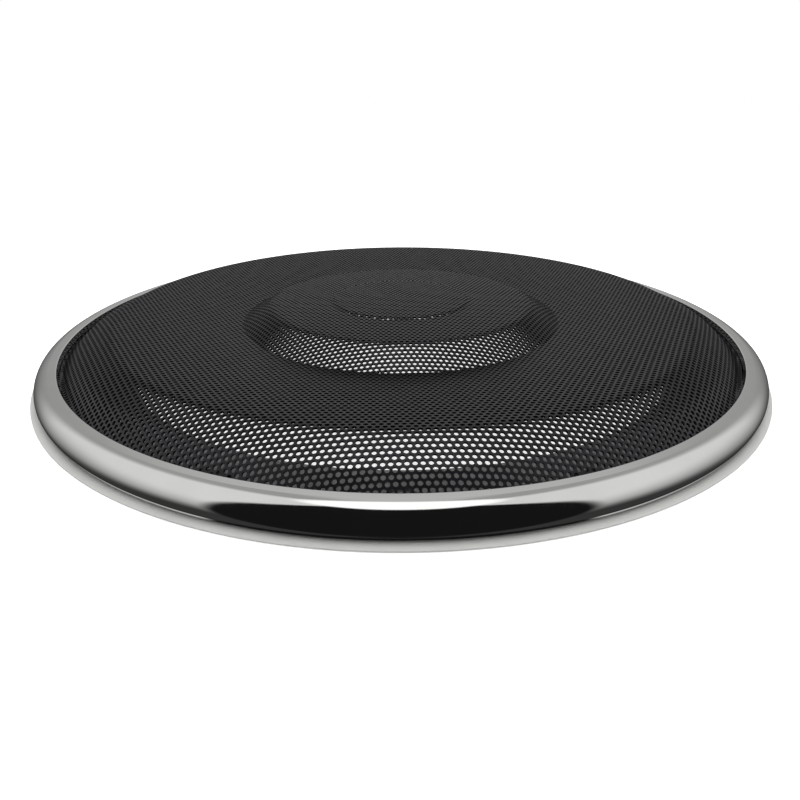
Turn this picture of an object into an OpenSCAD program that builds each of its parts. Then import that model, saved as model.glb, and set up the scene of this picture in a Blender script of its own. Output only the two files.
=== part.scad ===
// Round loudspeaker grille for a 10-inch class car loudspeaker: a domed perforated sheet in a
// plated trim ring, which lifts off a black mounting ring that is screwed round the speaker.
// Millimetres, +Z towards the listener, origin at the centre of the mounting face.

/* [Trim ring] */
// Diameter over the trim ring's flange
outer_d = 280; // [240:1:336]
// Height of the trim ring's top edge above the mounting face
ring_h = 9.8; // [9.6:0.1:15]
// Radial width of the flange at the foot of the ring
flange_w = 3.2; // [2:0.1:6]
// Height of the flange where it meets the groove
flange_h = 1.4; // [1:0.1:3]
// Height of the flange's upright outer edge
flange_edge = 0.5; // [0.3:0.1:1]
// Width of the groove between the flange and the bead
groove_w = 0.4; // [0.2:0.1:0.8]
// Depth of the groove
groove_depth = 0.35; // [0.1:0.05:0.6]
// Radial run of the bead from the groove in to the ring's top edge
bead_w = 3.8; // [3:0.1:6]
// How far the bead's shoulder stands out past the groove
shoulder_out = 1.0; // [0.3:0.1:2]
// Height of the bead's shoulder above the groove
shoulder_rise = 4.4; // [3:0.1:5]
// How far the bead bulges below its shoulder
nose_bulge = 0.7; // [0.3:0.1:1.3]
// How far the bead bulges above its shoulder
slope_bulge = 0.8; // [0.2:0.05:1]
// Radial width of the inner bevel
bevel_w = 2.8; // [2.3:0.1:6]
// Drop of the inner bevel from the top edge to the lip
bevel_drop = 0.2; // [0.1:0.1:1.5]
// Radius of the lip's rounded inner edge
lip_round = 0.4; // [0.2:0.1:1]
// Thickness of the lip under its rounded edge
lip_t = 1.5; // [1.2:0.1:2]
// Thickness of the ring's wall at the groove
ring_wall = 2; // [1.5:0.1:3]
// Gap under the flange, so that the mounting ring seats first
flange_gap = 0.2; // [0.1:0.1:0.6]
// How far the flange's top bulges
flange_crown = 0.1; // [0.05:0.05:0.4]

/* [Mesh] */
// Thickness of the perforated sheet
sheet_t = 0.7; // [0.5:0.1:1.2]
// Radial distance from the lip to the crest of the dome
crest_in = 17.2; // [14:0.1:30]
// Height of the crest above the lip
crest_rise = 7.6; // [5:0.1:14]
// Radial distance from the lip to the knee, where the steep edge eases
knee_in = 7.2; // [6:0.1:10]
// Height of the knee above the lip
knee_rise = 3.1; // [1.5:0.1:4]
// Diameter of the crease at the foot of the centre boss
boss_base_d = 129.4; // [80:0.1:140]
// Diameter of the centre boss at its shoulder
boss_top_d = 106.4; // [60:0.1:110]
// Drop from the crest to the crease round the boss
valley_drop = 5.1; // [2:0.1:8]
// Height of the boss above that crease
boss_rise = 6.2; // [3:0.1:10]
// Diameter of the small raised disc at the centre
disc_d = 55; // [20:1:58]
// Rise of the centre disc
disc_rise = 0.5; // [0.2:0.1:1.5]

/* [Mesh clamp] */
// Width of the clamp ring's flat under the mesh, inward of the lip
clamp_in = 3.7; // [2:0.1:6]
// Number of clamp screws
clamp_screws_n = 12; // [6:1:16]
// Diameter of the pilot holes in the trim ring's bosses
pilot_d = 1.8; // [1.4:0.1:2.4]
// Outer diameter of the trim ring's screw bosses
boss_d = 3.8; // [3.4:0.1:4.6]
// Diameter of the clamp screws' heads
head_d = 3.4; // [2.8:0.1:3.6]
// Height of the clamp screws' heads
head_h = 1.2; // [0.8:0.1:1.4]
// Thickness of the felt between the lip and the rim of the mesh
felt_t = 0.5; // [0.3:0.1:1]

/* [Mounting ring] */
// Radial width of the mounting ring, from the speaker opening to its edge
plate_w = 26.4; // [22:0.1:34]
// Thickness of the mounting ring
plate_t = 2.5; // [2:0.1:3.2]
// Height of the chamfer round the speaker opening
opening_chamfer = 1.3; // [0.5:0.1:1.5]
// Distance from the edge of the speaker opening to the mounting screws
bolt_in = 14; // [10:0.5:18]
// Number of mounting screw holes
bolt_n = 8; // [4:1:12]
// Diameter of the mounting screw holes
bolt_hole_d = 4.5; // [3.5:0.1:6]
// Diameter of the recess for a mounting screw's head
bolt_recess_d = 9; // [7:0.5:12]
// Depth of that recess
bolt_recess_h = 1; // [0.5:0.1:1.2]
// Width of the foam gasket
gasket_w = 4; // [3:0.5:6]
// Thickness of the gasket once it is squeezed into its channel
gasket_t = 1; // [0.5:0.1:1.2]

/* [Clips and bumpers] */
// Number of spring clips
clip_n = 8; // [4:1:10]
// Width of a spring clip
clip_w = 8; // [5:0.5:12]
// Thickness of the clip's spring strip
clip_t = 0.5; // [0.3:0.1:0.6]
// Number of rubber bumpers
bumper_n = 6; // [3:1:12]
// Diameter of a bumper
bumper_d = 5; // [4:0.5:6]
// Height of the bumpers above the mounting ring
bumper_h = 1; // [0.6:0.1:1.5]
// Depth of a bumper's seat in the mounting ring
bumper_seat = 0.5; // [0.3:0.1:0.8]

/* [Fits] */
// Radial gap between pieces that slide past each other
slide_gap = 0.4; // [0.3:0.05:0.8]
// Gap round a piece that sits in a hole or a notch
seat_gap = 0.15; // [0.05:0.05:0.3]
// Radial gap between a clamp screw and its pilot hole
thread_gap = 0.02; // [0.01:0.01:0.05]

/* [Hidden] */
$fn = 96;
cut = 0.5;                                  // how far a cutting shape runs past a face
arc_steps = 6;                              // straight pieces in each rounded corner
outer_r = outer_d / 2;
groove_r = outer_r - flange_w;
top_r = groove_r - bead_w;
lip_r = top_r - bevel_w;
lip_z = ring_h - bevel_drop - lip_round;    // foot of the lip's rounded edge
roof_z = lip_z - lip_t;                     // underside of the lip
wall_r = groove_r - ring_wall;              // inner wall of the trim ring

rim_top = roof_z - felt_t;                  // mesh rim, under the felt
rim_z = rim_top - sheet_t;
rim_r = wall_r - slide_gap;
crest_r = lip_r - crest_in;
crest_z = lip_z + crest_rise;
knee_r = lip_r - knee_in;
knee_z = lip_z + knee_rise;
edge_slope = 41;                            // degrees, from the rim up to the knee
bend_r = knee_r + (knee_z - rim_top) / tan(edge_slope);
valley_z = crest_z - valley_drop;
boss_z = valley_z + boss_rise;
boss_crown = 0.2;                           // rise of the boss's top from its shoulder to the disc
disc_crown = 0.1;
disc_slope_w = 1.5;                         // radial width of the step up to the disc
rim_bend = 1;                               // bend radii of the sheet's upper face
knee_bend = 10;
crest_bend = 7;
crease_bend = 1.2;
shoulder_bend = 7;
disc_bend = 1;

screw_edge = 0.1;                           // from the lip's edge in to the screw bosses
screw_r = lip_r + boss_d / 2 + screw_edge;  // circle of the clamp screws, hidden by the lip
boss_root = 0.4;                            // how far a boss runs into the lip and the wall
pilot_depth = 2.1;                          // from the boss's foot
screw_end_gap = 0.3;
screw_clear = 0.6;                          // added to a screw's diameter where it passes through
cross_l = 2.2;                              // cross recess in a screw's head
cross_w = 0.5;
cross_depth = 0.6;
felt_inset = 0.2;
clamp_r = wall_r - slide_gap;
clamp_inner_r = lip_r - clamp_in;
clamp_z = plate_t + bumper_h;
head_gap = 0.2;
head_seat = clamp_z + head_h + head_gap;

plate_r = wall_r - slide_gap;
plate_chamfer = 0.4;
opening_r = plate_r - plate_w;
bolt_r = opening_r + bolt_in;
gasket_in = 1.5;                            // from the mounting ring's edge to the gasket
gasket_r = plate_r - gasket_in;
bumper_r = (clamp_inner_r + clamp_r) / 2;

clip_tip_r = clamp_inner_r - slide_gap;     // where a clip bulges towards the clamp ring
clip_bulge = 0.6;
clip_leg_r = clip_tip_r - clip_bulge;
clip_reach = 2.5;                           // radial width of the clip's foot
clip_foot_r = clip_leg_r - clip_reach;
clip_pocket = 1.5;                          // depth of a clip's pocket
clip_foot_z = plate_t - clip_pocket;
clip_top_gap = 0.4;
clip_top_z = rim_z - clip_top_gap;
clip_lead = 1.2;                            // how far the tip leans in, and how far the back leg stops short
clip_foot_bend = 0.6;
clip_leg_bend = 0.8;
clip_leg_z = plate_t + 0.2;                 // where the outer leg starts to bulge

clip_names = [for (i = [1 : clip_n]) str("spring_clip_", i)];
bumper_names = [for (i = [1 : bumper_n]) str("bumper_", i)];

// ---- helpers ----

function unit(v) = v / norm(v);
function left(v) = [-v[1], v[0]];
function cross_z(a, b) = a[0] * b[1] - a[1] * b[0];

// The corner points p, each rounded with its radius in r; the first and last stay sharp.
function rounded(p, r) = [
    for (i = [0 : len(p) - 1])
        if (i == 0 || i == len(p) - 1 || r[i] == 0) p[i]
        else
            let (u = unit(p[i - 1] - p[i]), v = unit(p[i + 1] - p[i]),
                 half = acos(max(-1, min(1, u * v))) / 2,
                 back = r[i] / tan(half),
                 centre = p[i] + unit(u + v) * r[i] / sin(half),
                 a = p[i] + u * back - centre, b = p[i] + v * back - centre,
                 turn = atan2(cross_z(a, b), a * b))
            for (k = [0 : arc_steps])
                let (t = turn * k / arc_steps)
                centre + [a[0] * cos(t) - a[1] * sin(t), a[0] * sin(t) + a[1] * cos(t)]
];

// The corner points p moved to their left by d, as the other face of a bent sheet.
function beside(p, d) = [
    for (i = [0 : len(p) - 1])
        let (n1 = left(unit(p[min(i + 1, len(p) - 1)] - p[min(i, len(p) - 2)])),
             n0 = i == 0 ? n1 : left(unit(p[i] - p[i - 1])))
        p[i] + (n0 + n1) * d / (1 + n0 * n1)
];

// A bend's radii on that other face: d wider outside a bend and d tighter inside it.
function beside_radii(p, r, d) = [
    for (i = [0 : len(p) - 1])
        i == 0 || i == len(p) - 1 || r[i] == 0 ? 0
        : max(0.05, r[i] - d * sign(cross_z(p[i] - p[i - 1], p[i + 1] - p[i])))
];

// Points on an arc from a to b that bulges to the right of a->b by h; both ends are left out.
function bulge(a, b, h, steps) =
    let (c = norm(b - a), rad = h / 2 + c * c / (8 * h), mid = (a + b) / 2,
         n = -left(unit(b - a)), centre = mid - n * (rad - h), half = asin(c / 2 / rad))
    [for (k = [1 : steps - 1])
        let (t = -half + 2 * half * k / steps)
        centre + n * rad * cos(t) + unit(b - a) * rad * sin(t)];

function reversed(p) = [for (k = [len(p) - 1 : -1 : 0]) p[k]];

module ring(inner_r, ring_outer_r, z, h) {
    difference() {
        translate([0, 0, z]) cylinder(h = h, r = ring_outer_r);
        translate([0, 0, z - cut]) cylinder(h = h + 2 * cut, r = inner_r);
    }
}

module around(n, r, turn = 0) {
    for (i = [0 : n - 1]) rotate(turn + i * 360 / n) translate([r, 0, 0]) children();
}

// ---- pieces of the mounting ring ----

bolt_turn = 0;
clip_turn = 180 / bolt_n;
bumper_turn = 180 / clamp_screws_n;

module clip_pocket_cut() {
    translate([clip_foot_r - seat_gap, -clip_w / 2 - seat_gap, clip_foot_z])
        cube([clip_leg_r - clip_foot_r + 2 * seat_gap, clip_w + 2 * seat_gap, clip_pocket + cut]);
}

module mounting_ring() {
    color("#1b1b1d") difference() {
        rotate_extrude() polygon([
            [opening_r, 0],
            [plate_r, 0],
            [plate_r, plate_t - plate_chamfer],
            [plate_r - plate_chamfer, plate_t],
            [opening_r + opening_chamfer, plate_t],
            [opening_r, plate_t - opening_chamfer]
        ]);
        around(bolt_n, bolt_r, bolt_turn) {
            translate([0, 0, -cut]) cylinder(h = plate_t + 2 * cut, d = bolt_hole_d);
            translate([0, 0, plate_t - bolt_recess_h]) cylinder(h = bolt_recess_h + cut, d = bolt_recess_d);
        }
        ring(gasket_r - gasket_w, gasket_r, -cut, gasket_t + cut);
        around(bumper_n, bumper_r, bumper_turn)
            translate([0, 0, plate_t - bumper_seat]) cylinder(h = bumper_seat + cut, d = bumper_d);
        around(clip_n, 0, clip_turn) clip_pocket_cut();
    }
}

module gasket() {
    color("#2b2b2b") ring(gasket_r - gasket_w, gasket_r, 0, gasket_t);
}

// A strip bent to a U: its foot lies in the pocket and its outer leg bulges to the clamp ring.
clip_corners = [
    [clip_foot_r, clip_top_z - clip_lead],
    [clip_foot_r, clip_foot_z],
    [clip_leg_r, clip_foot_z],
    [clip_leg_r, clip_leg_z],
    [clip_tip_r, (clamp_z + rim_z) / 2],
    [clip_tip_r - clip_lead, clip_top_z]
];
clip_radii = [0, clip_foot_bend, clip_foot_bend, clip_leg_bend, clip_leg_bend, 0];

module spring_clip(i) {
    inner_face = rounded(beside(clip_corners, clip_t), beside_radii(clip_corners, clip_radii, clip_t));
    color("#55575a") rotate(clip_turn + i * 360 / clip_n)
        translate([0, clip_w / 2, 0]) rotate([90, 0, 0]) linear_extrude(clip_w)
            polygon(concat(rounded(clip_corners, clip_radii), reversed(inner_face)));
}

module bumper(i) {
    color("#202020") rotate(bumper_turn + i * 360 / bumper_n)
        translate([bumper_r, 0, plate_t - bumper_seat])
            cylinder(h = bumper_seat + bumper_h, d = bumper_d);
}

// ---- pieces of the cover ----

module trim_ring() {
    flange_edge_top = [outer_r, flange_gap + flange_edge];
    groove_out = [groove_r + groove_w, flange_h];
    groove_in = [groove_r, flange_h];
    shoulder = [groove_r + shoulder_out, flange_h + shoulder_rise];
    top_edge = [top_r, ring_h];
    color("#d8d9da") difference() {
        union() {
            rotate_extrude() polygon(concat(
                [[wall_r, flange_gap], [outer_r, flange_gap], flange_edge_top],
                bulge(flange_edge_top, groove_out, flange_crown, arc_steps),
                [groove_out, [groove_r + groove_w / 2, flange_h - groove_depth], groove_in],
                bulge(groove_in, shoulder, nose_bulge, 2 * arc_steps),
                [shoulder],
                bulge(shoulder, top_edge, slope_bulge, arc_steps),
                rounded([top_edge, [lip_r, lip_z + lip_round], [lip_r, roof_z]], [0, lip_round, 0]),
                [[wall_r, roof_z]]
            ));
            around(clamp_screws_n, screw_r) translate([0, 0, rim_z]) {
                cylinder(h = roof_z + boss_root - rim_z, d = boss_d);
                translate([0, -boss_d / 2, 0])
                    cube([wall_r + boss_root - screw_r, boss_d, roof_z + boss_root - rim_z]);
            }
        }
        around(clamp_screws_n, screw_r)
            translate([0, 0, rim_z - cut]) cylinder(h = pilot_depth + cut, d = pilot_d);
    }
}

// Notches, open at the rim, that let the trim ring's screw bosses through
module boss_notches(z, h) {
    notch_w = boss_d + 2 * seat_gap;
    around(clamp_screws_n, screw_r) translate([0, 0, z]) {
        cylinder(h = h, d = notch_w);
        translate([0, -notch_w / 2, 0]) cube([wall_r - screw_r, notch_w, h]);
    }
}

// The sheet's upper face from the rim to the centre, and the radius of each bend
sheet_corners = [
    [rim_r, rim_top],
    [bend_r, rim_top],
    [knee_r, knee_z],
    [crest_r, crest_z],
    [boss_base_d / 2, valley_z],
    [boss_top_d / 2, boss_z],
    [disc_d / 2 + disc_slope_w, boss_z + boss_crown],
    [disc_d / 2, boss_z + boss_crown + disc_rise],
    [0, boss_z + boss_crown + disc_rise + disc_crown]
];
sheet_radii = [0, rim_bend, knee_bend, crest_bend, crease_bend, shoulder_bend, disc_bend, disc_bend, 0];

module grille_mesh() {
    under = rounded(beside(sheet_corners, sheet_t), beside_radii(sheet_corners, sheet_radii, sheet_t));
    under_face = [for (q = under) [max(0, q[0]), q[1]]];
    color("#2a2a2c") difference() {
        rotate_extrude() polygon(concat(rounded(sheet_corners, sheet_radii), reversed(under_face)));
        boss_notches(rim_z - cut, sheet_t + 2 * cut);
    }
}

module rim_felt() {
    color("#161616") difference() {
        ring(lip_r + felt_inset, rim_r - felt_inset, rim_top, felt_t);
        boss_notches(rim_top - cut, felt_t + 2 * cut);
    }
}

module clamp_ring() {
    color("#1b1b1d") difference() {
        ring(clamp_inner_r, clamp_r, clamp_z, rim_z - clamp_z);
        around(clamp_screws_n, screw_r) translate([0, 0, clamp_z - cut]) {
            cylinder(h = rim_z - clamp_z + 2 * cut, d = pilot_d + screw_clear);
            cylinder(h = head_seat - clamp_z + cut, d = head_d + 2 * seat_gap);
        }
    }
}

module clamp_screws() {
    shank_end = rim_z + pilot_depth - screw_end_gap;
    color("#3a3a3c") around(clamp_screws_n, screw_r) difference() {
        union() {
            translate([0, 0, head_seat - head_h]) cylinder(h = head_h, d = head_d);
            translate([0, 0, head_seat - head_h])
                cylinder(h = shank_end - head_seat + head_h, d = pilot_d - 2 * thread_gap);
        }
        for (a = [0, 90]) rotate(a) translate([-cross_l / 2, -cross_w / 2, head_seat - head_h - cut])
            cube([cross_l, cross_w, cut + cross_depth]);
    }
}

mounting_ring();
gasket();
trim_ring();
grille_mesh();
rim_felt();
clamp_ring();
clamp_screws();
for (i = [0 : clip_n - 1]) spring_clip(i);
for (i = [0 : bumper_n - 1]) bumper(i);
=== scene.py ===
import math

import bpy
import numpy as np
from mathutils.geometry import delaunay_2d_cdt
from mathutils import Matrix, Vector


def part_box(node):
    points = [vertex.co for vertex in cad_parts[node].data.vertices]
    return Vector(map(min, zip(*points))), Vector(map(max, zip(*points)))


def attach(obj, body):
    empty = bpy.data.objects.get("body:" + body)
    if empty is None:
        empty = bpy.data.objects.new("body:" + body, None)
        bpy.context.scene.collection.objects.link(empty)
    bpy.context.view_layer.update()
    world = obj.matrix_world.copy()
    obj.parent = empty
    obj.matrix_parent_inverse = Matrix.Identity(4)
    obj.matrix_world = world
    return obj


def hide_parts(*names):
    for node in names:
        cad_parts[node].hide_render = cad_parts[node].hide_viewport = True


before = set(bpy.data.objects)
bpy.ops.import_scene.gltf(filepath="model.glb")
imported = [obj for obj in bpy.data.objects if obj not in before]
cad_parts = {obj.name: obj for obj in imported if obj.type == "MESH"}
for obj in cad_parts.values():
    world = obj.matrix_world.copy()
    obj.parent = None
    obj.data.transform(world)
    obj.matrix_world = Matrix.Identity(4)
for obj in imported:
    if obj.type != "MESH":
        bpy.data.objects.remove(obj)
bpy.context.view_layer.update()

# ---- sizes, in metres: places come from the frame, section sizes are those of the design ----

MM = 0.001
ring_low, ring_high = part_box("trim_ring")
felt_low, felt_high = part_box("rim_felt")
clamp_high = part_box("clamp_ring")[1]

outer_r = ring_high.x
ring_top = ring_high.z
flange_foot = ring_low.z
flange_edge = 0.5 * MM
flange_w = 3.2 * MM
flange_h = 1.4 * MM
flange_crown = 0.1 * MM
groove_w = 0.4 * MM
groove_depth = 0.35 * MM
bead_w = 3.8 * MM
shoulder_out = 1.0 * MM
shoulder_rise = 4.4 * MM
nose_bulge = 0.7 * MM
slope_bulge = 0.8 * MM
bevel_w = 2.8 * MM
bevel_drop = 0.2 * MM
lip_round = 0.4 * MM
ring_wall = 2 * MM
slide_gap = 0.4 * MM
seat_gap = 0.15 * MM

groove_r = outer_r - flange_w
top_r = groove_r - bead_w
lip_r = top_r - bevel_w
lip_z = ring_top - bevel_drop - lip_round
roof_z = felt_high.z
wall_r = groove_r - ring_wall

rim_top = felt_low.z
rim_z = clamp_high.z
sheet_t = rim_top - rim_z
rim_r = wall_r - slide_gap
# the crest and the knee are measured from the lip, and the other heights from each other
crest_in = 17.2 * MM
crest_rise = 7.6 * MM
knee_in = 7.2 * MM
knee_rise = 3.1 * MM
edge_slope = math.radians(41)
valley_drop = 5.1 * MM
boss_base_r = 64.7 * MM
boss_top_r = 53.2 * MM
boss_rise = 6.2 * MM
boss_crown = 0.2 * MM
disc_r = 27.5 * MM
disc_rise = 0.5 * MM
disc_flank = 1.5 * MM
disc_crown = 0.1 * MM

hole_pitch = 2.0 * MM
hole_d = 1.42 * MM
hole_sides = 12
row_turn = math.radians(2.5)
plain_band = 2.0 * MM
notch_margin = 0.2 * MM

screw_count = 12
boss_d = 3.8 * MM
pilot_d = 1.8 * MM
pilot_depth = 2.1 * MM
boss_root = 0.4 * MM
boss_edge = 0.15 * MM
screw_r = lip_r + boss_d / 2 + 0.1 * MM
notch_r = boss_d / 2 + seat_gap


# ---- outlines in (radius, height) ----

def arc(centre, start, turn, steps):
    """Points of the arc from start round centre, both ends included."""
    t = np.linspace(0, turn, steps + 1)
    dx, dy = start - centre
    return np.stack([centre[0] + dx * np.cos(t) - dy * np.sin(t),
                     centre[1] + dx * np.sin(t) + dy * np.cos(t)], 1)


def rounded(corners, radii, steps):
    """The corner points with each one rounded by its radius; the first and last stay sharp."""
    p = np.array(corners, float)
    out = [p[:1]]
    for i in range(1, len(p) - 1):
        if radii[i] == 0:
            out.append(p[i:i + 1])
            continue
        u, v = (q / np.linalg.norm(q) for q in (p[i - 1] - p[i], p[i + 1] - p[i]))
        half = math.acos(max(-1, min(1, u @ v))) / 2
        back = radii[i] / math.tan(half)
        centre = p[i] + (u + v) / np.linalg.norm(u + v) * radii[i] / math.sin(half)
        a, b = p[i] + u * back - centre, p[i] + v * back - centre
        turn = math.atan2(a[0] * b[1] - a[1] * b[0], a @ b)
        out.append(arc(centre, centre + a, turn, steps))
    out.append(p[-1:])
    return np.concatenate(out)


def bulge(a, b, height, steps):
    """Points between a and b on an arc that bulges to the right of a->b; both ends are left out."""
    a, b = np.array(a), np.array(b)
    along = (b - a) / np.linalg.norm(b - a)
    right = np.array([along[1], -along[0]])
    half_chord = np.linalg.norm(b - a) / 2
    radius = (half_chord ** 2 + height ** 2) / (2 * height)
    centre = (a + b) / 2 - right * (radius - height)
    turn = 2 * math.asin(half_chord / radius)
    return arc(centre, a, turn, steps)[1:-1]


# ---- mesh building ----

def mesh_object(name, points, faces, material, uv):
    """An object from points, lists of faces (each an array of 3 or 4 point numbers a row) and its
    bake map, a place for each face corner in turn."""
    mesh = bpy.data.meshes.new(name)
    faces = [f for f in faces if len(f)]
    corner = np.concatenate([f.ravel() for f in faces])
    sides = np.concatenate([np.full(len(f), f.shape[1]) for f in faces])
    mesh.vertices.add(len(points))
    mesh.vertices.foreach_set("co", np.asarray(points, np.float32).ravel())
    mesh.loops.add(len(corner))
    mesh.loops.foreach_set("vertex_index", corner.astype(np.int32))
    mesh.polygons.add(len(sides))
    mesh.polygons.foreach_set("loop_start", (np.cumsum(sides) - sides).astype(np.int32))
    mesh.materials.append(material)
    mesh.update(calc_edges=True)
    mesh.validate()
    mesh.uv_layers.new(name="OFBake").uv.foreach_set("vector", uv.astype(np.float32).ravel())
    mesh.shade_smooth()
    mesh.set_sharp_from_angle(angle=math.radians(35))
    piece = bpy.data.objects.new(name, mesh)
    bpy.context.scene.collection.objects.link(piece)
    return piece


def revolved(outline, segments, centre=(0, 0), bake_rows=4):
    """Points, quads and bake map of a closed outline, clockwise in (radius, height), turned about Z.
    The bake map lays the turn out in rows, with a little room between them."""
    row_fill = 0.98
    n = len(outline)
    turn = np.arange(segments) * 2 * math.pi / segments
    ring_points = np.empty((segments, n, 3))
    ring_points[:, :, 0] = centre[0] + np.outer(np.cos(turn), outline[:, 0])
    ring_points[:, :, 1] = centre[1] + np.outer(np.sin(turn), outline[:, 0])
    ring_points[:, :, 2] = outline[:, 1]
    k, i = np.meshgrid(np.arange(segments), np.arange(n), indexing="ij")
    k, i = k.ravel(), i.ravel()
    k2, i2 = (k + 1) % segments, (i + 1) % n
    quads = np.stack([k * n + i, k2 * n + i, k2 * n + i2, k * n + i2], 1)
    steps = np.linalg.norm(np.roll(outline, -1, 0) - outline, axis=1)
    along = np.concatenate([[0], np.cumsum(steps)]) / steps.sum()
    per_row = segments // bake_rows
    row, col = k // per_row, k % per_row
    u0, u1 = col / per_row, (col + 1) / per_row
    v0, v1 = ((row + row_fill * along[at]) / bake_rows for at in (i, i + 1))
    uv = np.stack([u0, v0, u1, v0, u1, v1, u0, v1], 1).reshape(-1, 2)
    return ring_points.reshape(-1, 3), quads, uv


# ---- materials ----

class Look:
    """A node material: short calls for the nodes that the finishes below share."""

    def __init__(self, name):
        self.material = bpy.data.materials.new(name)
        self.material.use_nodes = True
        self.tree = self.material.node_tree
        self.shader = self.tree.nodes["Principled BSDF"]
        self.place = self.tree.nodes.new("ShaderNodeTexCoord").outputs["Object"]

    def set(self, **values):
        for name, value in values.items():
            self.shader.inputs[name.replace("_", " ")].default_value = value

    def node(self, kind, inputs=(), **options):
        made = self.tree.nodes.new("ShaderNode" + kind)
        for key, value in options.items():
            setattr(made, key, value)
        for key, value in dict(inputs).items():
            if isinstance(value, bpy.types.NodeSocket):
                self.tree.links.new(value, made.inputs[key])
            else:
                made.inputs[key].default_value = value
        return made

    def noise(self, size, detail=3, roughness=0.5, stretch=(1, 1, 1)):
        """Noise whose features are about size metres across."""
        place = self.place
        if stretch != (1, 1, 1):
            place = self.node("Mapping", {"Vector": place, "Scale": stretch}).outputs["Vector"]
        return self.node("TexNoise", {"Vector": place, "Scale": 1 / size, "Detail": detail,
                                      "Roughness": roughness}).outputs["Fac"]

    def spread(self, value, low, high, start=0.3, end=0.7):
        """The value's middle stretch spread over low to high."""
        return self.node("MapRange", {"Value": value, "From Min": start, "From Max": end,
                                      "To Min": low, "To Max": high}).outputs["Result"]

    def colours(self, value, low, high, start=0.3, end=0.7):
        ramp = self.node("ValToRGB", {"Fac": value})
        stops = ramp.color_ramp.elements
        for stop, at, colour in zip(stops, (start, end), (low, high)):
            stop.position, stop.color = at, (*colour, 1)
        return ramp.outputs["Color"]

    def bump(self, height, distance, strength=1.0, under=None):
        inputs = {"Height": height, "Distance": distance, "Strength": strength}
        if under is not None:
            inputs["Normal"] = under
        return self.node("Bump", inputs).outputs["Normal"]

    def into(self, **sockets):
        for name, value in sockets.items():
            self.tree.links.new(value, self.shader.inputs[name.replace("_", " ")])


def chrome():
    """Bright chrome plating on moulded plastic: slight flow waves, fine polishing marks, faint haze."""
    look = Look("chrome_plating")
    look.set(Metallic=1.0)
    look.into(Base_Color=look.colours(look.noise(20 * MM, 4), (0.78, 0.785, 0.765), (0.84, 0.845, 0.825)),
              Roughness=look.spread(look.noise(2.5 * MM, 5, 0.6), 0.035, 0.085))
    waves = look.bump(look.noise(14 * MM, 1), 0.03 * MM)
    marks = look.bump(look.noise(0.25 * MM, 2), 0.0006 * MM, under=waves)
    look.into(Normal=marks)
    return look.material


def satin_chrome():
    """The flange's satin plating: an even, fine-grained sheen."""
    look = Look("satin_chrome")
    look.set(Metallic=0.4)
    look.into(Base_Color=look.colours(look.noise(20 * MM, 4), (0.78, 0.78, 0.76), (0.84, 0.84, 0.82)),
              Roughness=look.spread(look.noise(2.5 * MM, 5, 0.6), 0.56, 0.64))
    look.into(Normal=look.bump(look.noise(0.25 * MM, 2), 0.001 * MM))
    return look.material


def powder_coat():
    """Satin black powder coat, with its orange peel and a little dust-like variation in gloss."""
    look = Look("black_powder_coat")
    look.set(Specular_IOR_Level=0.4, Specular_Tint=(0.92, 0.92, 1.0, 1))
    darkest, palest = (0.0032, 0.0032, 0.0042), (0.0055, 0.0055, 0.0068)
    look.into(Base_Color=look.colours(look.noise(9 * MM, 4), darkest, palest),
              Roughness=look.spread(look.noise(3 * MM, 4), 0.27, 0.36))
    look.into(Normal=look.bump(look.noise(0.35 * MM, 2), 0.008 * MM))
    return look.material


def moulded_plastic():
    """Black ABS with a fine moulded grain, coloured a mid grey as painted light for the light that
    reaches it through the mesh.
    """
    look = Look("black_abs")
    # painted light: a black part given a grey colour that stands in for light falling on it through the
    # mesh
    look.into(Base_Color=look.colours(look.noise(12 * MM, 4), (0.28, 0.28, 0.28), (0.34, 0.34, 0.34)),
              Roughness=look.spread(look.noise(2 * MM, 4), 0.45, 0.62))
    cells = look.node("TexVoronoi", {"Vector": look.place, "Scale": 1 / (0.45 * MM)})
    look.into(Normal=look.bump(cells.outputs["Distance"], 0.02 * MM))
    return look.material


def foam():
    """Open-cell foam: pits of two sizes, the larger ones darker in colour as painted shade."""
    look = Look("foam")
    pits = look.node("TexVoronoi", {"Vector": look.place, "Scale": 1 / (0.8 * MM)}).outputs["Distance"]
    look.set(Sheen_Weight=0.3, Sheen_Roughness=0.6)
    # painted shade: the colour is darkest at the bottoms of the larger pits, where shade would fall
    look.into(Base_Color=look.colours(pits, (0.008, 0.008, 0.008), (0.04, 0.04, 0.042), 0.1, 0.6),
              Roughness=look.spread(look.noise(1 * MM), 0.85, 1.0))
    look.into(Normal=look.bump(look.noise(0.3 * MM, 3), 0.05 * MM, under=look.bump(pits, 0.2 * MM)))
    return look.material


def felt():
    """Matted black fibres, darker where the fibre relief dips: partly the fibres' own tone, partly
    painted shade.
    """
    look = Look("felt")
    fibres = look.noise(0.5 * MM, 6, 0.75, stretch=(1, 1, 0.4))
    look.set(Sheen_Weight=0.6, Sheen_Roughness=0.5)
    # painted shade: the colour follows the same relief as the bump, darker in its dips
    look.into(Base_Color=look.colours(fibres, (0.006, 0.006, 0.007), (0.035, 0.035, 0.038)),
              Roughness=look.spread(look.noise(2 * MM), 0.9, 1.0))
    look.into(Normal=look.bump(fibres, 0.15 * MM))
    return look.material


def spring_steel():
    """Blued strip: rolled streaks and a drifting temper colour."""
    look = Look("spring_steel")
    look.set(Metallic=1.0)
    streaks = look.noise(1.2 * MM, 5, 0.7, stretch=(1, 1, 0.08))
    look.into(Base_Color=look.colours(look.noise(5 * MM, 3), (0.10, 0.105, 0.12), (0.20, 0.19, 0.18)),
              Roughness=look.spread(streaks, 0.25, 0.45))
    look.into(Normal=look.bump(streaks, 0.004 * MM))
    return look.material


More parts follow.
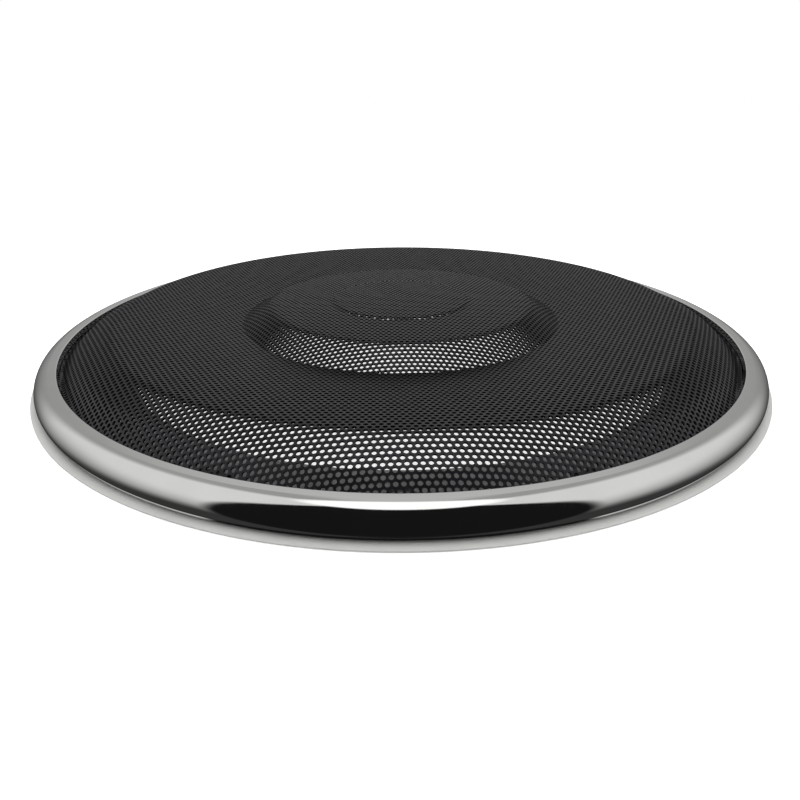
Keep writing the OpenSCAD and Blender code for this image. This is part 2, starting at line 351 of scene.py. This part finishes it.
def screw_steel():
    """Black zinc plating, worn thinner here and there."""
    look = Look("screw_steel")
    look.set(Metallic=1.0)
    look.into(Base_Color=look.colours(look.noise(1 * MM, 4), (0.05, 0.05, 0.055), (0.16, 0.16, 0.165)),
              Roughness=look.spread(look.noise(0.6 * MM, 4), 0.35, 0.55))
    look.into(Normal=look.bump(look.noise(0.15 * MM), 0.003 * MM))
    return look.material


def rubber():
    """Soft black rubber with a dry bloom."""
    look = Look("bumper_rubber")
    look.set(Sheen_Weight=0.15, Sheen_Roughness=0.4)
    look.into(Base_Color=look.colours(look.noise(1.5 * MM, 4), (0.014, 0.014, 0.014), (0.03, 0.03, 0.03)),
              Roughness=look.spread(look.noise(0.8 * MM), 0.7, 0.85))
    look.into(Normal=look.bump(look.noise(0.2 * MM), 0.006 * MM))
    return look.material


# ---- the trim ring ----

def trim_ring_outlines():
    """The bead's and the flange's closed outlines, clockwise; they meet under the groove's floor."""
    edge_top = (outer_r, flange_foot + flange_edge)
    groove_out = (groove_r + groove_w, flange_h)
    groove_floor = (groove_r + groove_w / 2, flange_h - groove_depth)
    groove_in = (groove_r, flange_h)
    foot = (groove_floor[0], flange_foot)
    shoulder = (groove_r + shoulder_out, flange_h + shoulder_rise)
    top_edge = (top_r, ring_top)
    crown = bulge(edge_top, groove_out, flange_crown, 12)
    nose = bulge(groove_in, shoulder, nose_bulge, 32)
    slope = bulge(shoulder, top_edge, slope_bulge, 24)
    rim = rounded([foot, (outer_r, flange_foot), edge_top, crown[0]], [0, 0.12 * MM, 0.15 * MM, 0], 6)
    over = rounded([slope[-1], top_edge, (lip_r, lip_z + lip_round), (lip_r, roof_z), (wall_r, roof_z)],
                   [0, 0.12 * MM, lip_round, 0.15 * MM, 0], 10)
    bead = np.concatenate([[(wall_r, flange_foot), foot, groove_floor, groove_in], nose, [shoulder],
                           slope[:-1], over])
    flange = np.concatenate([rim, crown[1:], [groove_out, groove_floor]])
    return bead, flange


def screw_boss_outline():
    """Clockwise: the boss's outside, up into the lip, and its pilot hole, a hair off the axis."""
    axis = 0.02 * MM
    hole_r, outer = pilot_d / 2, boss_d / 2
    top, hole_end, edge_z = roof_z + boss_root, rim_z + pilot_depth, rim_z + boss_edge
    return np.array([(axis, hole_end), (hole_r, hole_end), (hole_r, edge_z), (hole_r + boss_edge, rim_z),
                     (outer - boss_edge, rim_z), (outer, edge_z), (outer, top), (axis, top)])


def make_trim_ring(bright, satin):
    """The ring's bead with its screw bosses, and its satin flange, which the bead doesn't mirror.
    In the bead's bake map the bosses take a strip above the bead."""
    bead, flange = trim_ring_outlines()
    points, quads, uv = revolved(bead, 512)
    all_points, all_quads, all_uv = [points], [quads], [uv * (1, 0.9)]
    for k in range(screw_count):
        turn = 2 * math.pi * k / screw_count
        centre = (screw_r * math.cos(turn), screw_r * math.sin(turn))
        p, q, boss_uv = revolved(screw_boss_outline(), 48, centre, bake_rows=1)
        all_quads.append(q + sum(len(x) for x in all_points))
        all_points.append(p)
        all_uv.append((boss_uv + (k, 0)) * (1 / screw_count, 0.08) + (0, 0.91))
    shell = mesh_object("trim_ring_bead", np.concatenate(all_points), all_quads, bright,
                        np.concatenate(all_uv))
    points, quads, uv = revolved(flange, 512)
    edge = mesh_object("trim_ring_flange", points, [quads], satin, uv)
    edge.visible_glossy = False
    return shell, edge


# ---- the perforated sheet ----

def sheet_section():
    """The sheet's upper face from the centre out, at fine steps: the arc length and the place of each
    point, and the middle and the slope of each step."""
    crest_z = lip_z + crest_rise
    knee = (lip_r - knee_in, lip_z + knee_rise)
    bend_r = knee[0] + (knee[1] - rim_top) / math.tan(edge_slope)
    valley_z = crest_z - valley_drop
    boss_z = valley_z + boss_rise
    disc_z = boss_z + boss_crown + disc_rise
    # each corner, and the radius it is rounded by
    bends = [((0, disc_z + disc_crown), 0),
             ((disc_r, disc_z), 1 * MM),
             ((disc_r + disc_flank, boss_z + boss_crown), 1 * MM),
             ((boss_top_r, boss_z), 7 * MM),
             ((boss_base_r, valley_z), 1.2 * MM),
             ((lip_r - crest_in, crest_z), 7 * MM),
             (knee, 10 * MM),
             ((bend_r, rim_top), 1 * MM),
             ((rim_r, rim_top), 0)]
    line = rounded(*zip(*bends), 16)
    steps = np.linalg.norm(np.diff(line, axis=0), axis=1)
    line = line[np.concatenate([[True], steps > 1e-7])]
    steps = np.linalg.norm(np.diff(line, axis=0), axis=1)
    length = np.concatenate([[0], np.cumsum(steps)])
    slope = np.arctan2(np.diff(line[:, 1]), np.diff(line[:, 0]))
    return length, line, (length[1:] + length[:-1]) / 2, slope


section = sheet_section()


def on_sheet(flat, under):
    """Where points of the flat punched sheet lie once it is pressed; under is True for its lower face."""
    length, line, middle, slope = section
    s = np.linalg.norm(flat, axis=1)
    way = flat / np.maximum(s, 1e-12)[:, None]
    r, z = np.interp(s, length, line[:, 0]), np.interp(s, length, line[:, 1])
    tilt = np.interp(s, middle, slope)
    if under:
        r, z = r + sheet_t * np.sin(tilt), z - sheet_t * np.cos(tilt)
    return np.column_stack([way * r[:, None], z])


def hex_lattice(limit, blocked, clear):
    """Cells of the hole pattern within limit of the centre and clear of the blocked points:
    hole centres, corner points and each cell's corners."""
    half_x, sixth_y = hole_pitch / 2, hole_pitch / (2 * math.sqrt(3))
    reach = int(limit / hole_pitch) * 2 + 4
    i, j = (a.ravel() for a in np.meshgrid(np.arange(-reach, reach), np.arange(-reach, reach)))
    cx, cy = 2 * i + j, 3 * j
    steps = np.array([(1, 1), (0, 2), (-1, 1), (-1, -1), (0, -2), (1, -1)])
    kx, ky = cx[:, None] + steps[:, 0], cy[:, None] + steps[:, 1]
    c, s = math.cos(row_turn), math.sin(row_turn)
    turned = np.array([[c, s], [-s, c]])
    at = np.stack([kx * half_x, ky * sixth_y], 2) @ turned
    inside = np.linalg.norm(at, axis=2).max(1) < limit
    for point in blocked:
        inside &= np.linalg.norm(at - point, axis=2).min(1) > clear
    kx, ky, cx, cy = kx[inside], ky[inside], cx[inside], cy[inside]
    keys, cell_corners = np.unique(kx.ravel() * 100000 + ky.ravel(), return_inverse=True)
    first = np.zeros(len(keys), int)
    first[cell_corners] = np.arange(kx.size)
    corners = np.stack([kx.ravel()[first] * half_x, ky.ravel()[first] * sixth_y], 1)
    centres = np.stack([cx * half_x, cy * sixth_y], 1)
    return centres @ turned, corners @ turned, cell_corners.reshape(-1, 6)


def rim_outline(rim_s, screw_s):
    """The sheet's cut edge, flat: a circle with an open notch round each screw boss."""
    mouth = math.asin(notch_r / rim_s)
    pitch = 2 * math.pi / screw_count
    out = []
    for k in range(screw_count):
        t = np.linspace((k - 1) * pitch + mouth, k * pitch - mouth, 56)
        out.append(rim_s * np.stack([np.cos(t), np.sin(t)], 1))
        c, s = math.cos(k * pitch), math.sin(k * pitch)
        notch = arc(np.array([screw_s, 0]), np.array([screw_s, -notch_r]), -math.pi, 12)
        out.append(notch @ np.array([[c, s], [-s, c]]))
    return np.concatenate(out)


def cell_faces(cells, hole_no):
    """Quads and triangles of the sheet between each cell's six corners and its hole, and the hole's
    edges as pairs of point numbers."""
    quads, tris = [], []
    for k in range(6):
        a, b = cells[:, k], cells[:, (k + 1) % 6]
        near, middle, far = (hole_no[:, (2 * k + m) % hole_sides] for m in (1, 2, 3))
        quads.append(np.stack([a, b, far, middle], 1))
        tris.append(np.stack([a, middle, near], 1))
    walls = [(hole_no[:, m], hole_no[:, (m + 1) % hole_sides]) for m in range(hole_sides)]
    return quads + tris, walls


def band_faces(centres, corners, cells, rim, rim_no):
    """Triangles of the plain band between the last whole cells and the cut edge."""
    starts = np.concatenate([cells[:, k] for k in range(6)])
    ends = np.concatenate([cells[:, (k + 1) % 6] for k in range(6)])
    pair = np.minimum(starts, ends) * len(corners) + np.maximum(starts, ends)
    _, index, count = np.unique(pair, return_index=True, return_counts=True)
    open_edge = index[count == 1]
    loop_ids = np.unique(np.concatenate([starts[open_edge], ends[open_edge]]))
    place = {c: i for i, c in enumerate(loop_ids)}
    edges = [(place[a], place[b]) for a, b in zip(starts[open_edge], ends[open_edge])]
    n_loop, n_rim = len(loop_ids), len(rim)
    edges += [(n_loop + i, n_loop + (i + 1) % n_rim) for i in range(n_rim)]
    places = np.concatenate([corners[loop_ids], rim])
    out = delaunay_2d_cdt([tuple(p) for p in places / MM], edges, [], 1, 1e-5, True)
    source = [ids[0] for ids in out[3]]
    tris = np.array(out[2])

    # the triangles also cover the cells, so only those beyond every cell are kept
    middle = places[source][tris].mean(1)
    nearest = np.concatenate([np.hypot(*(part[:, None] - centres[None]).transpose(2, 0, 1)).min(1)
                              for part in np.array_split(middle, len(middle) // 400 + 1)])
    kept = nearest > hole_pitch / math.sqrt(3) * 0.999
    return np.concatenate([loop_ids, rim_no])[source][tris[kept]]


def make_sheet(material, sectors=6):
    """The perforated sheet, cut into sectors by the direction of each cell from the centre. The
    perforated sheet in sectors, each under the size at which its mesh would be thinned out.
    """
    rim_s = section[0][-1]
    screw_s = rim_s - (rim_r - screw_r)
    turns = np.arange(screw_count) * 2 * math.pi / screw_count
    screws = screw_s * np.stack([np.cos(turns), np.sin(turns)], 1)
    centres, corners, cells = hex_lattice(rim_s - plain_band, screws, notch_r + notch_margin)
    spoke = np.arange(hole_sides) * 2 * math.pi / hole_sides + row_turn
    spokes = hole_d / 2 * np.stack([np.cos(spoke), np.sin(spoke)], 1)
    rim = rim_outline(rim_s, screw_s)

    flat = np.concatenate([corners, (centres[:, None] + spokes).reshape(-1, 2), rim])
    n_flat = len(flat)
    hole_no = len(corners) + np.arange(len(cells) * hole_sides).reshape(-1, hole_sides)
    rim_no = np.arange(n_flat - len(rim), n_flat)
    rim_next = np.roll(rim_no, -1)
    round_holes, walls = cell_faces(cells, hole_no)
    band = band_faces(centres, corners, cells, rim, rim_no)
    cut_edge = np.stack([rim_no, rim_no + n_flat, rim_next + n_flat, rim_next], 1)
    points = np.concatenate([on_sheet(flat, False), on_sheet(flat, True)])

    span = 2 * math.pi / sectors

    def sector(at):
        return ((np.arctan2(at[:, 1], at[:, 0]) + 2 * math.pi) % (2 * math.pi) / span).astype(int)

    # where each point goes in the bake map: hole walls lie inside the holes, the cut edge outside
    tucked = np.concatenate([corners, (centres[:, None] + 0.75 * spokes).reshape(-1, 2), rim * 1.004])

    def laid_out(at, number, column):
        turn = -(number + 0.5) * span
        x = at[:, 0] * math.cos(turn) - at[:, 1] * math.sin(turn)
        y = at[:, 0] * math.sin(turn) + at[:, 1] * math.cos(turn)
        margin = 2 * MM
        reach = rim_s + 2 * margin
        return np.column_stack([((x + margin) / reach + column) / 2, y / reach + 0.5])

    cell_sector, band_sector = sector(centres), sector(flat[band].mean(1))
    edge_sector = sector(flat[cut_edge[:, [0, 3]]].mean(1))
    pieces = []
    for number in range(sectors):
        mine = cell_sector == number
        upper = [f[mine] for f in round_holes] + [band[band_sector == number]]
        lower = [f[:, ::-1] + n_flat for f in upper]
        sides = [np.stack([a, a + n_flat, b + n_flat, b], 1)[mine][:, ::-1] for a, b in walls]
        sides.append(cut_edge[edge_sector == number])
        faces = upper + lower + sides

        seen_from_top, seen_from_under = laid_out(flat, number, 0), laid_out(flat, number, 1)
        side_map = np.concatenate([seen_from_top, laid_out(tucked, number, 0)])
        maps = [seen_from_top[f] for f in upper] + [seen_from_under[f % n_flat] for f in lower]
        maps += [side_map[f] for f in sides]

        used = np.unique(np.concatenate([f.ravel() for f in faces]))
        renumber = np.zeros(len(points), int)
        renumber[used] = np.arange(len(used))
        pieces.append(mesh_object(f"grille_mesh_sector_{number + 1}", points[used],
                                  [renumber[f] for f in faces], material,
                                  np.concatenate([m.reshape(-1, 2) for m in maps])))
    return pieces


# ---- camera, floor, light ----

# brightness of the room, in units of plain white
OVERHEAD = 1.25
SIDE_WALL = 0.75
BACK_WALL = 0.53
BACK_CORNERS = 0.36
DARK_SIDE = 0.008
BACKDROP = 1.0


def make_camera():
    """The photograph's view: close to the ring and looking down on it, with a slight roll."""
    data = bpy.data.cameras.new("camera")
    data.lens, data.sensor_width = 27.08, 36
    data.clip_start = 0.01
    camera = bpy.data.objects.new("camera", data)
    bpy.context.scene.collection.objects.link(camera)
    camera.location = (0, -1.7555 * outer_r, 0.6331 * outer_r)
    camera.rotation_euler = (math.radians(90 - 25.61), math.radians(0.2), 0)
    bpy.context.scene.camera = camera


def make_floor():
    """A wide pale floor, which the chrome doesn't mirror."""
    data = bpy.data.meshes.new("floor")
    reach = 12
    data.from_pydata([(-reach, -reach, 0), (reach, -reach, 0), (reach, reach, 0), (-reach, reach, 0)], [],
                     [(0, 1, 2, 3)])
    floor = bpy.data.objects.new("floor", data)
    bpy.context.scene.collection.objects.link(floor)
    look = Look("pale_floor")
    look.set(Roughness=0.9, Specular_IOR_Level=0.1, Emission_Color=(1, 1, 1, 1), Emission_Strength=0.6)
    look.into(Base_Color=look.colours(look.noise(0.4, 3), (0.86, 0.86, 0.86), (0.89, 0.89, 0.89)))
    data.materials.append(look.material)
    floor.visible_glossy = False


def make_world():
    """A pale studio as the chrome sees it: a bright panel overhead, pale walls at the sides, greyer
    behind the ring, dim low down and dark on the camera's side. The camera sees a white backdrop."""
    world = bpy.data.worlds.new("studio")
    bpy.context.scene.world = world
    world.use_nodes = True
    tree = world.node_tree

    def node(kind, *values, **options):
        made = tree.nodes.new("ShaderNode" + kind)
        for key, value in options.items():
            setattr(made, key, value)
        for socket, value in zip(made.inputs, values):
            if isinstance(value, bpy.types.NodeSocket):
                tree.links.new(value, socket)
            else:
                socket.default_value = value
        return made.outputs[0]

    def maths(operation, a, b=0.0):
        return node("Math", a, b, operation=operation)

    def rise(value, start, end, low=0.0, high=1.0):
        return node("MapRange", value, start, end, low, high, interpolation_type="SMOOTHSTEP")

    def blend(factor, a, b):
        return node("MapRange", factor, 0.0, 1.0, a, b)

    def level(degrees):
        """How high a ray that climbs by this angle ends, as a share of its length."""
        return math.sin(math.radians(degrees))

    def turned(degrees):
        """How far towards the camera's side a level ray points that is turned from it by this angle."""
        return math.cos(math.radians(degrees))

    ray = tree.nodes.new("ShaderNodeTexCoord").outputs["Generated"]
    x, y, z = node("SeparateXYZ", ray).node.outputs
    flat = maths("SQRT", maths("ADD", maths("MULTIPLY", x, x), maths("MULTIPLY", y, y)))
    toward = maths("DIVIDE", maths("MULTIPLY", y, -1.0), maths("MAXIMUM", flat, 1e-4))
    back = rise(toward, turned(174), turned(150), BACK_WALL, BACK_CORNERS)
    wall = rise(toward, turned(132), turned(112), back, SIDE_WALL)
    shade = rise(z, level(-35), level(30), 0.05, 1.0)
    front = rise(toward, turned(56), turned(50))
    panel = rise(z, level(70), level(75))
    room = blend(panel, blend(front, maths("MULTIPLY", wall, shade), DARK_SIDE), OVERHEAD)
    seen = tree.nodes.new("ShaderNodeLightPath").outputs["Is Camera Ray"]
    tree.links.new(blend(seen, room, BACKDROP), tree.nodes["Background"].inputs["Color"])


def add_light(name, place, aim, size, power):
    """A square area light at a place, turned to its aim; the chrome mirrors the room instead of it."""
    data = bpy.data.lights.new(name, "AREA")
    data.size, data.energy = size, power
    light = bpy.data.objects.new(name, data)
    bpy.context.scene.collection.objects.link(light)
    light.location = place
    way = np.array(aim) - np.array(place)
    light.rotation_euler = (math.atan2(math.hypot(way[0], way[1]), -way[2]), 0,
                            math.atan2(way[1], way[0]) - math.pi / 2)
    light.visible_glossy = False


# ---- build ----

make_camera()
make_floor()
make_world()
add_light("overhead", place=(0, 0.3, 1.6), aim=(0, 0, 0), size=1.6, power=22)

looks = {
    "chrome_plating": chrome(),
    "satin_chrome": satin_chrome(),
    "black_powder_coat": powder_coat(),
    "black_abs": moulded_plastic(),
    "foam": foam(),
    "felt": felt(),
    "spring_steel": spring_steel(),
    "screw_steel": screw_steel(),
    "bumper_rubber": rubber(),
}
cad_looks = {"mounting_ring": "black_abs", "clamp_ring": "black_abs", "gasket": "foam",
             "rim_felt": "felt", "clamp_screws": "screw_steel", "spring_clip": "spring_steel",
             "bumper": "bumper_rubber"}
for node_name, cad_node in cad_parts.items():
    kind = node_name.rstrip("0123456789").rstrip("_")
    if kind in cad_looks:
        cad_node.data.materials.clear()
        cad_node.data.materials.append(looks[cad_looks[kind]])

for piece in make_trim_ring(looks["chrome_plating"], looks["satin_chrome"]):
    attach(piece, "cover")
    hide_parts("trim_ring")
for piece in make_sheet(looks["black_powder_coat"]):
    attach(piece, "cover")
    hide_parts("grille_mesh")

bpy.context.scene.view_settings.view_transform = "Standard"
